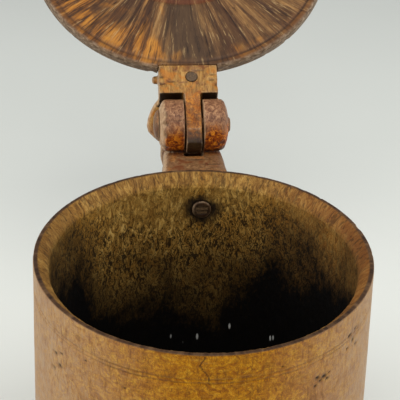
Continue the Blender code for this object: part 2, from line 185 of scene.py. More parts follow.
def step(low, high, value):
    """0 below low, 1 above high, smooth between; low may be the larger one, which turns it round."""
    t = np.clip((value - low) / (high - low), 0, 1)
    return t * t * (3 - 2 * t)


def line_distance(points, path):
    """Distance in the plane from each point to a broken line."""
    best = np.full(len(points), 1e9)
    for a, b in zip(path[:-1], path[1:]):
        a = np.array(a, float)
        d = np.array(b, float) - a
        t = np.clip(((points - a) @ d) / (d @ d), 0, 1)
        best = np.minimum(best, np.linalg.norm(points - (a + t[:, None] * d), axis=1))
    return best


# ---------------------------------------------------------------- meshes

def link(name, mesh):
    """The mesh as a new object in the scene."""
    item = bpy.data.objects.new(name, mesh)
    bpy.context.scene.collection.objects.link(item)
    return item


def coordinates(mesh):
    """Every vertex in millimetres."""
    co = np.zeros(len(mesh.vertices) * 3, np.float32)
    mesh.vertices.foreach_get("co", co)
    return co.reshape(-1, 3).astype(float) / MM


def place(mesh, points):
    """Move every vertex to its point, given in millimetres."""
    mesh.vertices.foreach_set("co", (points * MM).astype(np.float32).ravel())
    mesh.update()


def normals(mesh):
    """Every vertex's outward direction."""
    n = np.zeros(len(mesh.vertices) * 3, np.float32)
    mesh.vertex_normals.foreach_get("vector", n)
    return n.reshape(-1, 3).astype(float)


def polar(points):
    """Distance from the vertical axis, angle about it, and height."""
    return np.hypot(points[:, 0], points[:, 1]), np.arctan2(points[:, 1], points[:, 0]), points[:, 2]


def paint(mesh, name, values):
    """Store a 0..1 value on every vertex, for a material to read."""
    layer = mesh.attributes.get(name) or mesh.attributes.new(name, "FLOAT", "POINT")
    layer.data.foreach_set("value", np.clip(values, 0, 1).astype(np.float32))


def turned(name, profile, turns):
    """Closed ring mesh from a closed (radius, height) profile and a list of turn angles."""
    rows, count = len(profile), len(turns)
    radius = np.array([p[0] for p in profile])
    height = np.array([p[1] for p in profile])
    points = np.zeros((rows, count, 3))
    points[..., 0] = radius[:, None] * np.cos(turns)[None, :]
    points[..., 1] = radius[:, None] * np.sin(turns)[None, :]
    points[..., 2] = height[:, None]
    index = np.arange(rows * count).reshape(rows, count)
    nxt = np.roll(index, -1, 0)
    quads = np.stack([index, np.roll(index, -1, 1), np.roll(nxt, -1, 1), nxt], -1).reshape(-1, 4)
    mesh = bpy.data.meshes.new(name)
    mesh.from_pydata([tuple(p) for p in points.reshape(-1, 3) * MM], [], [tuple(q) for q in quads.tolist()])
    mesh.update()
    return link(name, mesh)


def turned_disc(name, profile, turns):
    """Closed solid from an open (radius, height) profile that starts and ends on the axis."""
    count = len(turns)
    points = []
    rows = []
    for radius, height in profile:
        if radius < 1e-6:
            rows.append([len(points)] * count)
            points.append((0.0, 0.0, height))
        else:
            rows.append(list(range(len(points), len(points) + count)))
            points += [(radius * cos(a), radius * sin(a), height) for a in turns]
    faces = []
    for low, high in zip(rows[:-1], rows[1:]):
        for i in range(count):
            j = (i + 1) % count
            faces.append(list(dict.fromkeys((low[i], low[j], high[j], high[i]))))
    mesh = bpy.data.meshes.new(name)
    mesh.from_pydata([Vector(p) * MM for p in points], [], faces)
    mesh.update()
    return link(name, mesh)


def along(points, step_mm):
    """Points of a (radius, height) line, filled in so that none is further apart than step_mm."""
    result = []
    for (r0, z0), (r1, z1) in zip(points[:-1], points[1:]):
        count = max(1, int(np.ceil(np.hypot(r1 - r0, z1 - z0) / step_mm)))
        for k in range(count):
            t = k / count
            result.append((r0 + (r1 - r0) * t, z0 + (z1 - z0) * t))
    result.append(points[-1])
    return result


def baked(item):
    """The object's mesh with its modifiers applied."""
    graph = bpy.context.evaluated_depsgraph_get()
    graph.update()
    mesh = bpy.data.meshes.new_from_object(item.evaluated_get(graph))
    item.modifiers.clear()
    item.data = mesh
    return item


def carve(item, tool, operation="DIFFERENCE"):
    """Cut the tool out of the item, or join it on, and remove the tool."""
    change = item.modifiers.new("carve", "BOOLEAN")
    change.operation = operation
    change.solver = "EXACT"
    change.object = tool
    baked(item)
    bpy.data.objects.remove(tool, do_unlink=True)
    return item


def rod(radius, start, end, axis, centre, sides=48):
    """Plain round cutter."""
    profile = [(0, start), (radius, start), (radius, end), (0, end)]
    item = turned_disc("cutter", profile, [2 * pi * k / sides for k in range(sides)])
    turn = {"Z": Matrix.Identity(4), "Y": Matrix.Rotation(-pi / 2, 4, "X")}[axis]
    item.data.transform(Matrix.Translation(Vector(centre) * MM) @ turn)
    return item


def post(name, half, low, high, x, y):
    """Upright block of square section, half wide each way."""
    corner = half * 2 ** 0.5
    profile = [(0, low), (corner, low), (corner, high), (0, high)]
    item = turned_disc(name, profile, [pi / 4 + pi / 2 * k for k in range(4)])
    item.data.transform(Matrix.Translation((x * MM, y * MM, 0)))
    return item


def smooth_shade(item):
    """Let the light run smoothly over every face."""
    item.data.polygons.foreach_set("use_smooth", np.ones(len(item.data.polygons), bool))
    item.data.update()


# ---------------------------------------------------------------- node trees

def linear(srgb):
    """A colour as a screen shows it, turned into the light values that a shader takes."""
    return tuple(c / 12.92 if c <= 0.04045 else ((c + 0.055) / 1.055) ** 2.4 for c in srgb)


class Tree:
    """Short names for the shader nodes that the wood materials use."""

    def __init__(self, name, on_lid=False):
        self.material = bpy.data.materials.new(name)
        self.material.use_nodes = True
        self.tree = self.material.node_tree
        self.shader = self.tree.nodes["Principled BSDF"]
        where = self.tree.nodes.new("ShaderNodeTexCoord").outputs["Object"]
        if on_lid:
            where = self.shut(where)
        self.millimetres = self.vector("SCALE", where, scale=1000.0)

    def shut(self, where):
        """The same point with the lid swung shut, so that patterns follow the lid's own axis."""
        turn = self.tree.nodes.new("ShaderNodeVectorRotate")
        turn.rotation_type = "X_AXIS"
        self.feed(turn.inputs["Vector"], where)
        turn.inputs["Center"].default_value = PIN
        turn.inputs["Angle"].default_value = -OPEN_ANGLE
        return self.vector("SUBTRACT", turn.outputs[0], (0.0, 0.0, SEAT_Z * MM))

    def feed(self, socket, value):
        """Link a socket to the input, or set it to a number, a vector or a screen colour."""
        if isinstance(value, bpy.types.NodeSocket):
            self.tree.links.new(value, socket)
        elif isinstance(value, (tuple, list)) and len(value) == 3 and socket.type == "RGBA":
            socket.default_value = (*linear(value), 1.0)
        else:
            socket.default_value = value

    def math(self, kind, a, b=0.0):
        """One operation on two numbers or sockets."""
        node = self.tree.nodes.new("ShaderNodeMath")
        node.operation = kind
        for socket, value in zip(node.inputs, (a, b)):
            self.feed(socket, value)
        return node.outputs[0]

    def add(self, a, b):
        return self.math("ADD", a, b)

    def times(self, a, b):
        return self.math("MULTIPLY", a, b)

    def centred(self, value, amount):
        """A noise value about 0 instead of 0.5, scaled."""
        return self.times(self.math("SUBTRACT", value, 0.5), amount)

    def size(self, value):
        """The value without its sign."""
        return self.math("ABSOLUTE", value)

    def vector(self, kind, a, b=(0.0, 0.0, 0.0), scale=None):
        """One operation on two vectors, or on a vector and a scale."""
        node = self.tree.nodes.new("ShaderNodeVectorMath")
        node.operation = kind
        self.feed(node.inputs[0], a)
        if scale is None:
            self.feed(node.inputs[1], b)
        else:
            self.feed(node.inputs["Scale"], scale)
        return node.outputs["Value" if kind in ("LENGTH", "DOT_PRODUCT", "DISTANCE") else 0]

    def split(self, value):
        node = self.tree.nodes.new("ShaderNodeSeparateXYZ")
        self.feed(node.inputs[0], value)
        return node.outputs

    def merge(self, x, y, z):
        node = self.tree.nodes.new("ShaderNodeCombineXYZ")
        for socket, value in zip(node.inputs, (x, y, z)):
            self.feed(socket, value)
        return node.outputs[0]

    def stretch(self, where, *factors):
        return self.vector("MULTIPLY", where, factors)

    def noise(self, where, scale, detail=4.0, rough=0.55, distort=0.0):
        """Cloudy values about 0.5; scale is features per millimetre where the points are in millimetres."""
        node = self.tree.nodes.new("ShaderNodeTexNoise")
        self.feed(node.inputs["Vector"], where)
        node.inputs["Scale"].default_value = scale
        node.inputs["Detail"].default_value = detail
        node.inputs["Roughness"].default_value = rough
        node.inputs["Distortion"].default_value = distort
        return node.outputs["Fac"]

    def veins(self, where, scale, detail, rough, distort):
        """Small along winding lines, larger away from them."""
        return self.size(self.math("SUBTRACT", self.noise(where, scale, detail, rough, distort), 0.5))

    def cells(self, where, scale):
        """Distance to the nearest of many scattered points."""
        node = self.tree.nodes.new("ShaderNodeTexVoronoi")
        self.feed(node.inputs["Vector"], where)
        node.inputs["Scale"].default_value = scale
        return node.outputs["Distance"]

    def range(self, value, low, high, out_low=0.0, out_high=1.0):
        """Smooth change from out_low at low to out_high at high, level beyond them."""
        node = self.tree.nodes.new("ShaderNodeMapRange")
        node.interpolation_type = "SMOOTHSTEP"
        for socket, number in zip(node.inputs[:5], (value, low, high, out_low, out_high)):
            self.feed(socket, number)
        return node.outputs[0]

    def blend(self, factor, a, b):
        """Colour a where the factor is 0, colour b where it is 1."""
        node = self.tree.nodes.new("ShaderNodeMix")
        node.data_type = "RGBA"
        self.feed(node.inputs[0], factor)
        self.feed(node.inputs[6], a)
        self.feed(node.inputs[7], b)
        return node.outputs[2]

    def ramp(self, value, *stops):
        """Colour picked by value from (value, screen colour) stops."""
        node = self.tree.nodes.new("ShaderNodeValToRGB")
        self.feed(node.inputs[0], value)
        entries = node.color_ramp.elements
        while len(entries) < len(stops):
            entries.new(0.5)
        for entry, (place_at, colour) in zip(entries, stops):
            entry.position = place_at
            entry.color = (*linear(colour), 1.0)
        return node.outputs[0]

    def painted(self, name):
        """The 0..1 value that paint stored on the mesh."""
        node = self.tree.nodes.new("ShaderNodeAttribute")
        node.attribute_name = name
        return node.outputs["Fac"]

    def bump(self, height, strength, depth):
        node = self.tree.nodes.new("ShaderNodeBump")
        self.feed(node.inputs["Height"], height)
        node.inputs["Strength"].default_value = strength
        node.inputs["Distance"].default_value = depth * MM
        return node.outputs[0]

    def done(self, colour, roughness, specular, normal=None):
        self.feed(self.shader.inputs["Base Color"], colour)
        self.feed(self.shader.inputs["Roughness"], roughness)
        if normal is not None:
            self.feed(self.shader.inputs["Normal"], normal)
        self.shader.inputs["Specular IOR Level"].default_value = specular
        return self.material


# ---------------------------------------------------------------- materials

def drum_skin(t):
    """Points laid on the drum's skin, and the direction they face across and back."""
    x, y, z = t.split(t.millimetres)
    ax, ay, _ = t.split(t.vector("NORMALIZE", t.merge(x, y, 0.0)))
    return t.merge(t.times(ax, RIM_R), t.times(ay, RIM_R), z), ax, ay


def outside_wood(t, skin, ax, figure, fibre, marks):
    """Golden burl in front, with brown smudges and fine dark grain, and a painted pale grey sheen at both
    sides.
    """
    mottle = t.noise(skin, 0.04, 4.0, 0.6, 0.8)
    smudge = t.noise(skin, 0.10, 5.0, 0.68, 1.5)
    curl = t.veins(skin, 0.30, 5.0, 0.65, 2.4)
    colour = t.ramp(figure, (0.28, (0.47, 0.24, 0.00)), (0.42, (0.62, 0.375, 0.00)),
                    (0.54, (0.73, 0.485, 0.02)), (0.68, (0.83, 0.61, 0.14)))
    colour = t.blend(t.range(mottle, 0.48, 0.66, 0.0, 0.40), colour, (0.56, 0.31, 0.01))
    colour = t.blend(t.range(smudge, 0.52, 0.66, 0.0, 0.55), colour, (0.46, 0.26, 0.02))
    colour = t.blend(t.range(smudge, 0.30, 0.44, 0.4, 0.0), colour, (0.84, 0.58, 0.14))
    colour = t.blend(t.range(fibre, 0.52, 0.64, 0.0, 0.6), colour, (0.38, 0.20, 0.03))
    colour = t.blend(t.range(curl, 0.0, 0.05, 0.6, 0.0), colour, (0.38, 0.21, 0.04))
    colour = t.blend(t.range(marks, 0.57, 0.70, 0.0, 0.2), colour, (0.80, 0.62, 0.28))
    # Painted sheen: the sides, turned away from the camera, are blended towards pale grey as a reflection of
    # the bright surroundings.
    side = t.range(t.size(ax), 0.15, 0.99, 0.0, 0.86)
    side = t.times(side, t.range(fibre, 0.35, 0.62, 1.0, 0.55))
    side = t.times(side, t.range(smudge, 0.40, 0.66, 1.0, 0.62))
    colour = t.blend(side, colour, (0.645, 0.55, 0.44))
    specks = t.range(t.cells(skin, 0.30), 0.02, 0.10, 1.0, 0.0)
    specks = t.times(specks, t.range(t.noise(skin, 0.05, 2.0), 0.52, 0.62))
    return t.blend(t.times(specks, 0.75), colour, (0.20, 0.10, 0.04))


def inside_wood(t, skin, ax, ay, grain, vein, fleck):
    """Golden brown under the rim, flecked, then darker with depth until it is black: real staining and
    painted shade together.
    """
    depth = t.painted("depth")
    cloud = t.noise(skin, 0.035, 4.0, 0.6, 0.5)
    colour = t.ramp(grain, (0.30, (0.34, 0.22, 0.07)), (0.44, (0.54, 0.39, 0.16)),
                    (0.56, (0.70, 0.54, 0.26)), (0.74, (0.82, 0.68, 0.40)))
    colour = t.blend(t.range(cloud, 0.48, 0.62, 0.0, 0.45), colour, (0.66, 0.46, 0.15))
    colour = t.blend(t.range(ax, 0.30, 0.9, 0.0, 0.35), colour, (0.52, 0.30, 0.12))
    dense = t.range(t.add(depth, t.centred(cloud, 0.6)), 0.02, 0.30, 0.45, 1.0)
    colour = t.blend(t.times(t.range(vein, 0.012, 0.045, 0.95, 0.0), dense), colour, (0.10, 0.06, 0.02))
    colour = t.blend(t.times(t.range(fleck, 0.52, 0.58, 0.0, 0.88), dense), colour, (0.10, 0.065, 0.028))
    # Real staining and painted shade together: darker with depth, reaching higher on the side walls than on
    # the back wall, near black deep in the bore.
    flank = t.range(t.size(t.add(ax, 0.12)), 0.35, 0.95, 0.0, 0.30)
    flank = t.add(flank, t.range(ay, 0.30, 0.95, 0.0, -0.10))
    stain_and_shade = t.add(t.add(depth, flank), t.centred(cloud, 0.85))
    stain_and_shade = t.add(stain_and_shade, t.centred(grain, 0.55))
    colour = t.blend(t.range(stain_and_shade, 0.14, 0.46, 0.0, 0.66), colour, (0.15, 0.11, 0.055))
    colour = t.blend(t.range(stain_and_shade, 0.38, 0.72, 0.0, 0.985), colour, (0.012, 0.010, 0.010))
    colour = t.blend(t.painted("ring"), colour, (0.07, 0.045, 0.03))
    specks = t.range(t.cells(t.stretch(skin, 1.0, 1.0, 0.35), 0.17), 0.08, 0.14, 1.0, 0.0)
    low_band = t.times(t.range(depth, 0.80, 0.83), t.range(depth, 0.92, 0.96, 1.0, 0.0))
    return t.blend(t.times(t.times(specks, low_band), 0.9), colour, (0.80, 0.80, 0.78))


def lip_wood(t, ax, grain, fleck):
    """The bevel inside the rim: rubbed brown, redder at the right."""
    colour = t.ramp(grain, (0.3, (0.27, 0.16, 0.06)), (0.5, (0.46, 0.30, 0.12)), (0.7, (0.58, 0.42, 0.19)))
    colour = t.blend(t.range(ax, 0.45, 0.95, 0.0, 0.55), colour, (0.46, 0.22, 0.09))
    return t.blend(t.range(fleck, 0.54, 0.64, 0.0, 0.7), colour, (0.16, 0.09, 0.04))


def body_material():
    """One wood for the whole drum, with its outside, inside, bevel, rim, cracks and worm holes."""
    t = Tree("aged_burl_body")
    skin, ax, ay = drum_skin(t)
    inside = t.painted("inside")
    figure = t.noise(skin, 0.22, 6.0, 0.68, 1.8)
    fibre = t.noise(t.stretch(skin, 1.0, 1.0, 0.22), 0.75, 6.0, 0.7, 0.8)
    marks = t.noise(t.stretch(skin, 0.06, 0.06, 1.0), 1.1, 3.0, 0.6)
    half_height = t.stretch(skin, 1.0, 1.0, 0.5)
    grain = t.noise(half_height, 0.30, 6.0, 0.70, 1.4)
    vein = t.veins(half_height, 0.30, 4.0, 0.62, 2.2)
    fleck = t.noise(t.stretch(skin, 1.0, 1.0, 0.45), 0.55, 3.0, 0.6, 1.2)
    rim_wood = t.ramp(t.noise(skin, 0.22, 5.0, 0.6, 0.5), (0.3, (0.12, 0.07, 0.035)),
                      (0.5, (0.25, 0.165, 0.095)), (0.7, (0.38, 0.28, 0.18)))

    colour = outside_wood(t, skin, ax, figure, fibre, marks)
    colour = t.blend(inside, colour, inside_wood(t, skin, ax, ay, grain, vein, fleck))
    colour = t.blend(t.times(t.painted("bevel"), 0.50), colour, lip_wood(t, ax, grain, fleck))
    colour = t.blend(t.painted("rim"), colour, rim_wood)
    colour = t.blend(t.painted("pits"), colour, (0.07, 0.03, 0.015))
    # Dark where the wood is cracked, and painted shade along the incised lines.
    colour = t.blend(t.painted("crack_and_line_shade"), colour, (0.20, 0.10, 0.03))

    relief = t.add(t.times(fibre, 0.5), t.times(marks, 0.5))
    relief = t.blend(inside, relief, t.math("SUBTRACT", t.times(vein, 3.0), fleck))
    rough = t.add(t.range(figure, 0.3, 0.7, 0.36, 0.52), t.times(inside, 0.2))
    return t.done(colour, rough, 0.15, t.bump(relief, 0.6, 0.4))


def lid_face_wood(t, radius, bx, wander, wide, fine, hair):
    """Radial end grain: dark brown panels, greyer in the middle, and painted light glowing amber at the lower
    left edge.
    """
    colour = t.ramp(fine, (0.28, (0.13, 0.075, 0.035)), (0.42, (0.29, 0.185, 0.095)),
                    (0.52, (0.40, 0.275, 0.155)), (0.62, (0.52, 0.375, 0.21)), (0.78, (0.68, 0.53, 0.34)))
    colour = t.blend(t.range(wide, 0.46, 0.56, 0.0, 0.78), colour, (0.235, 0.14, 0.08))
    colour = t.blend(t.range(t.size(bx), 0.05, 0.35, 0.40, 0.0), colour, (0.29, 0.235, 0.165))
    # Painted light: amber towards the outer ring and the left, where light falls on the face.
    outward = t.range(radius, 56.0, 78.0, -0.06, 0.16)
    left = t.range(bx, 0.15, -0.45, -0.13, 0.21)
    painted_light = t.add(t.noise(t.millimetres, 0.045, 3.0, 0.6, 0.6), t.add(outward, left))
    painted_light = t.times(t.range(painted_light, 0.58, 0.82, 0.0, 0.80), t.range(fine, 0.40, 0.56))
    amber = t.ramp(fine, (0.36, (0.40, 0.20, 0.05)), (0.52, (0.64, 0.40, 0.12)), (0.70, (0.80, 0.55, 0.20)))
    colour = t.blend(painted_light, colour, amber)
    rubbed = t.times(t.range(radius, 74.0, 79.0), t.range(wander, 0.40, 0.60, 0.15, 0.75))
    colour = t.blend(rubbed, colour, (0.40, 0.25, 0.12))
    colour = t.blend(t.range(hair, 0.54, 0.66, 0.0, 0.7), colour, (0.12, 0.075, 0.04))
    colour = t.blend(t.range(hair, 0.32, 0.43, 0.6, 0.0), colour, (0.66, 0.54, 0.36))
    return t.blend(t.painted("heart"), colour, (0.42, 0.17, 0.06))


def lid_material():
    """Radial figure on the inner face, plain worn wood on the edge and burl on top."""
    t = Tree("radial_lid_wood", on_lid=True)
    x, y, _ = t.split(t.millimetres)
    radius = t.vector("LENGTH", t.merge(x, y, 0.0))
    bx, by, _ = t.split(t.vector("NORMALIZE", t.merge(x, y, 0.0)))
    wander = t.noise(t.millimetres, 0.03, 3.0, 0.5)
    drift = t.centred(wander, 0.06)
    rays = t.merge(t.add(bx, drift), t.add(by, drift), t.times(radius, 0.0013))
    wide = t.noise(rays, 5.0, 3.0, 0.6, 0.1)
    fine = t.noise(rays, 17.0, 5.0, 0.70, 0.1)
    hair = t.noise(rays, 46.0, 4.0, 0.7, 0.05)
    edge_grain = t.noise(t.stretch(t.millimetres, 1.0, 1.0, 2.5), 0.35, 5.0, 0.65, 0.6)
    edge = t.ramp(edge_grain, (0.3, (0.24, 0.17, 0.11)), (0.5, (0.45, 0.36, 0.27)), (0.7, (0.64, 0.55, 0.45)))
    burl = t.noise(t.millimetres, 0.12, 6.0, 0.62, 1.4)
    top = t.ramp(burl, (0.3, (0.36, 0.2, 0.07)), (0.5, (0.53, 0.35, 0.15)), (0.7, (0.62, 0.45, 0.22)))
    colour = lid_face_wood(t, radius, bx, wander, wide, fine, hair)
    colour = t.blend(t.painted("edge"), colour, edge)
    colour = t.blend(t.painted("top"), colour, top)
    # Dark in the cracks, and painted shade along the groove and the top's steps.
    colour = t.blend(t.painted("crack_and_line_shade"), colour, (0.12, 0.05, 0.025))
    relief = t.add(t.add(fine, t.times(hair, -0.5)), t.times(edge_grain, 0.4))
    return t.done(colour, t.range(wide, 0.3, 0.7, 0.42, 0.56), 0.22, t.bump(relief, 0.6, 0.4))


def carved_material(name, grain, on_lid, gold, tones):
    """Hand-carved wood: long grain, amber and red patches, pale rubbed edges and painted light on faces
    turned to the left, near black in hollows, on stained ends and in painted shade.
    """
    t = Tree(name, on_lid)
    long_grain = t.stretch(t.millimetres, *grain)
    fibre = t.noise(long_grain, 0.55, 6.0, 0.7, 0.8)
    patch = t.noise(t.millimetres, 0.11, 4.0, 0.62, 1.2)
    blotch = t.noise(t.vector("ADD", t.millimetres, (31.0, 17.0, 5.0)), 0.16, 4.0, 0.6, 0.9)
    fine = t.noise(long_grain, 2.2, 4.0, 0.7, 0.4)
    spots = t.noise(t.millimetres, 0.38, 4.0, 0.65, 1.2)
    rosy = t.ramp(fibre, (0.34, (0.30, 0.17, 0.10)), (0.5, (0.50, 0.335, 0.225)), (0.64, (0.66, 0.49, 0.34)))
    amber = t.ramp(spots, (0.36, (0.27, 0.08, 0.01)), (0.5, (0.56, 0.25, 0.03)), (0.62, (0.82, 0.50, 0.10)))
    worn_and_lit = t.ramp(fibre, (0.32, (0.50, 0.38, 0.26)), (0.5, (0.68, 0.55, 0.41)), (0.68, (0.80, 0.69, 0.55)))
    colour = t.ramp(fibre, *zip((0.28, 0.48, 0.70), tones))
    colour = t.blend(t.range(patch, 0.50, 0.62, 0.0, gold), colour, (0.68, 0.40, 0.09))
    colour = t.blend(t.range(patch, 0.34, 0.46, 0.6, 0.0), colour, (0.46, 0.31, 0.215))
    colour = t.blend(t.range(blotch, 0.53, 0.63, 0.0, 0.6), colour, (0.38, 0.17, 0.06))
    colour = t.blend(t.painted("rosy"), colour, rosy)
    colour = t.blend(t.painted("amber"), colour, amber)
    colour = t.blend(t.range(fine, 0.55, 0.68, 0.0, 0.55), colour, (0.20, 0.10, 0.04))
    # Near black where the dark layer is painted: hollows, stained tenon ends, and painted shade and shadow on
    # the hinge.
    colour = t.blend(t.painted("grime_and_shade"), colour, (0.055, 0.03, 0.014))
    # Paler on rubbed edges, and painted light on faces turned to the left.
    colour = t.blend(t.painted("worn_and_lit"), colour, worn_and_lit)
    relief = t.add(fibre, t.times(fine, 0.5))
    return t.done(colour, t.range(patch, 0.3, 0.7, 0.38, 0.54), 0.25, t.bump(relief, 0.6, 0.4))


def peg_material():
    """Dark end grain of the pegs and wedges."""
    t = Tree("dark_peg_end")
    pores = t.noise(t.millimetres, 1.3, 5.0, 0.7, 0.3)
    colour = t.ramp(pores, (0.3, (0.16, 0.105, 0.06)), (0.5, (0.31, 0.225, 0.13)), (0.72, (0.46, 0.36, 0.23)))
    return t.done(colour, 0.58, 0.4, t.bump(pores, 0.6, 0.3))


def board_material():
    """The bottom board: pale from below, stained dark inside the tankard."""
    t = Tree("stained_bottom_board")
    _, _, z = t.split(t.millimetres)
    grain = t.noise(t.stretch(t.millimetres, 1.0, 0.07, 1.0), 0.7, 6.0, 0.65, 0.4)
    dark = t.ramp(grain, (0.3, (0.07, 0.05, 0.035)), (0.6, (0.16, 0.115, 0.07)))
    pale = t.ramp(grain, (0.3, (0.33, 0.20, 0.09)), (0.6, (0.55, 0.38, 0.19)))
    return t.done(t.blend(t.range(z, 4.0, 8.0), pale, dark), 0.6, 0.4, t.bump(grain, 0.5, 0.4))


def floor_material():
    """Pale seamless floor, with a painted pool of light around the tankard that darkens outward, and a little
    cloudy.
    """
    t = Tree("pale_floor")
    metres = t.vector("SCALE", t.millimetres, scale=MM)
    # Painted light: the floor's colour is brightest near the tankard and darker further away.
    away = t.vector("DISTANCE", metres, (0.05, 0.15, 0.0))
    away = t.add(away, t.centred(t.noise(metres, 3.0, 3.0, 0.5), 0.3))
    tone = t.ramp(away, (0.08, (0.85, 0.86, 0.835)), (0.30, (0.80, 0.81, 0.785)), (0.75, (0.70, 0.71, 0.69)))
    return t.done(tone, 0.7, 0.2)


# ---------------------------------------------------------------- pieces

def outer_radius(z):
    """The drum's outside, which widens a little towards the foot."""
    return RIM_R + TAPER * (RIM_Z - z)


def bore_radius(z):
    """The drum's inside below the bevel."""
    return WALL_LOW_R + (WALL_TOP_R - WALL_LOW_R) * z / (RIM_Z - BEVEL_DROP)


def body_profile():
    """Closed (radius, height) outline of the drum's wall, finest at the rim and the incised lines."""
    foot = outer_radius(0)
    base = along([(WALL_LOW_R, 0.0), (foot - 1.2, 0.0)], 2.5)
    outer = along([(foot - 1.2, 0.0), (foot - 0.3, 0.5), (foot - SKIN_IN, 1.4)], 0.5)[1:]
    outer += along([outer[-1], (outer_radius(18) - SKIN_IN, 18.0)], 0.6)[1:]
    outer += along([outer[-1], (outer_radius(112) - SKIN_IN, 112.0)], 1.6)[1:]
    outer += along([outer[-1], (RIM_R - SKIN_IN, RIM_Z - 1.2)], 0.45)[1:]
    rounding = ((0.15, 0.8), (0.3, 0.45), (0.6, 0.15), (1.0, 0.02))
    corner = [(RIM_R - inward, RIM_Z - drop) for inward, drop in rounding]
    flat = [(RIM_R - 1.0 - 0.3 * k, RIM_Z) for k in range(1, 4)] + [(MOUTH_R, RIM_Z - 0.05)]
    bevel = [(MOUTH_R - 0.3, RIM_Z - 0.3), (75.4, RIM_Z - 2.3), (73.2, RIM_Z - 5.0),
             (WALL_TOP_R, RIM_Z - 6.6)]
    inner = along([(bore_radius(RIM_Z - 7.2), RIM_Z - 7.2), (bore_radius(96), 96.0)], 0.8)
    inner += along([inner[-1], (WALL_LOW_R, 8.4)], 1.8)[1:]
    groove = [(GROOVE_R, 7.5), (GROOVE_R, 3.7), (WALL_LOW_R, 2.8)]
    return base + outer + corner + flat + along(bevel, 0.5) + inner + groove


def incised(z, width, wander=0.0):
    """Near 1 on the four turned lines round the drum."""
    return sum(np.exp(-((z - line - wander) / width) ** 2) for line in INCISED_Z)


def drum_flaws(skin, turn, z):
    """Near 1 in the front crack, and near 1 in the worm holes."""
    wobble = np.stack([0.35 * field(skin, 0.5, 9), 0.35 * field(skin, 0.5, 10)], 1)
    spread = np.stack([(turn + pi / 2) * RIM_R, z], 1) + wobble
    crack_and_line_shade = np.exp(-(line_distance(spread, CRACK_PATH) / 0.24) ** 2)
    pits = np.zeros(len(z))
    for across, height, radius in WORM_PITS:
        distance = np.hypot(spread[:, 0] - across, (spread[:, 1] - height) * 1.3)
        pits = np.maximum(pits, np.exp(-(distance / radius) ** 2))
    return crack_and_line_shade, pits


def wear_body(mesh):
    """Age the drum's surface, and paint the places that its material reads."""
    p = coordinates(mesh)
    r, turn, z = polar(p)
    skin = np.stack([np.cos(turn) * RIM_R, np.sin(turn) * RIM_R, z], 1)
    outside = (r > outer_radius(z) - 1.6) & (z < RIM_Z - 0.5)
    in_bore = step(bore_radius(z) + 1.6, bore_radius(z) + 0.5, r) * (z < RIM_Z - 3.0)
    in_mouth = step(MOUTH_R + 0.5, MOUTH_R - 0.1, r)
    inside = np.maximum(in_bore, in_mouth)
    crack_and_line_shade, pits = (outside * flaw for flaw in drum_flaws(skin, turn, z))

    shift = outside * -0.32 * incised(z, 0.42, 0.12 * field(skin, 0.05, 3))
    shift -= 0.25 * crack_and_line_shade + 0.5 * pits
    shift += np.where(outside, 0.10 * layered(skin, 0.08, 3, 5) - 0.12, 0)
    shift += np.where(inside > 0.5, 0.16 * layered(skin * np.array((1, 1, 0.4)), 0.6, 3, 6), 0)
    edge = step(RIM_Z - 1.6, RIM_Z - 0.2, z) * step(MOUTH_R - 1.1, MOUTH_R - 0.1, r)
    shift -= 0.8 * edge * np.maximum(layered(skin, 0.22, 3, 12) - 0.42, 0)
    moved = p + normals(mesh) * shift[:, None]
    moved[:, 2] = np.maximum(moved[:, 2], 0.0)
    place(mesh, moved)

    line_shade = outside * incised(z, 0.5) * (0.26 + 0.30 * field(skin, 0.09, 21))
    from_tenon = np.hypot(p[:, 0] - UPPER_TENON_X, (z - UPPER_TENON_Z) * 1.15)
    ring = step(12.5, 5.8, from_tenon + 1.8 * field(skin, 0.4, 14)) * inside * (p[:, 1] > 0)
    paint(mesh, "inside", inside)
    paint(mesh, "rim", step(RIM_Z - 0.7, RIM_Z - 0.1, z) * step(MOUTH_R - 0.4, MOUTH_R + 0.2, r))
    paint(mesh, "bevel", step(RIM_Z - 9.0, RIM_Z - 3.0, z) * in_mouth)
    paint(mesh, "depth", (RIM_Z - z) / STAIN_AND_SHADE_DEPTH)
    paint(mesh, "pits", pits)
    # This layer holds the real cracking and the painted shade of the incised lines.
    paint(mesh, "crack_and_line_shade", np.maximum(crack_and_line_shade, line_shade))
    paint(mesh, "ring", ring * 0.95)


def build_body(material):
    """The drum, finest in front, with holes for the handle's two tenons."""
    front = np.arange(-145, -35, 0.36)
    rest = np.arange(-35, 215, 1.15)
    body = turned("body_shell", body_profile(), np.radians(np.concatenate([front, rest])))
    for x, z in ((UPPER_TENON_X, UPPER_TENON_Z), (0.0, LOWER_TENON_Z)):
        carve(body, rod(TENON_HOLE_R, 60, 95, "Y", (x, 0, z)))
    wear_body(body.data)
    body.data.materials.clear()
    body.data.materials.append(material)
    smooth_shade(body)
    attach(body, "tankard")
    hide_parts("body_wall")


def lid_profile():
    """(radius, height) outline of the lid from its centre below, round the edge, to its centre on top."""
    under = along([(0, RECESS_D), (RECESS_R - 0.8, RECESS_D), (RECESS_R, 0.1), (LID_LINE_R, 0.0),
                   (LID_R - 1.0, 0.0)], 1.1)
    edge = [(LID_R - 0.7, 0.3), (LID_R - 0.3, 0.9)] + along([(LID_R, 1.7), (LID_R, LID_EDGE - 1.6)], 0.6)
    edge += [(LID_R - 0.2, LID_EDGE - 0.9), (LID_R - 0.7, LID_EDGE - 0.3), (LID_R - 1.6, LID_EDGE)]
    return under + edge + along([(LID_R - 2.2, LID_EDGE + 0.05), *LID_TOP], 2.0)


def radial_cracks(r, turn):
    """Near 1 in the cracks that run out from the lid's middle."""
    cracks = np.zeros(len(r))
    for bearing, start, end, width in RADIAL_CRACKS:
        across = np.abs((turn - radians(bearing) + pi) % (2 * pi) - pi) * r
        across = across + 0.3 * field(np.stack([r, r * 0, r * 0 + bearing], 1), 0.3, 40)
        reach = step(start - 2, start + 2, r) * step(end + 2, end - 2, r)
        cracks = np.maximum(cracks, reach * np.exp(-(across / width) ** 2))
    return cracks


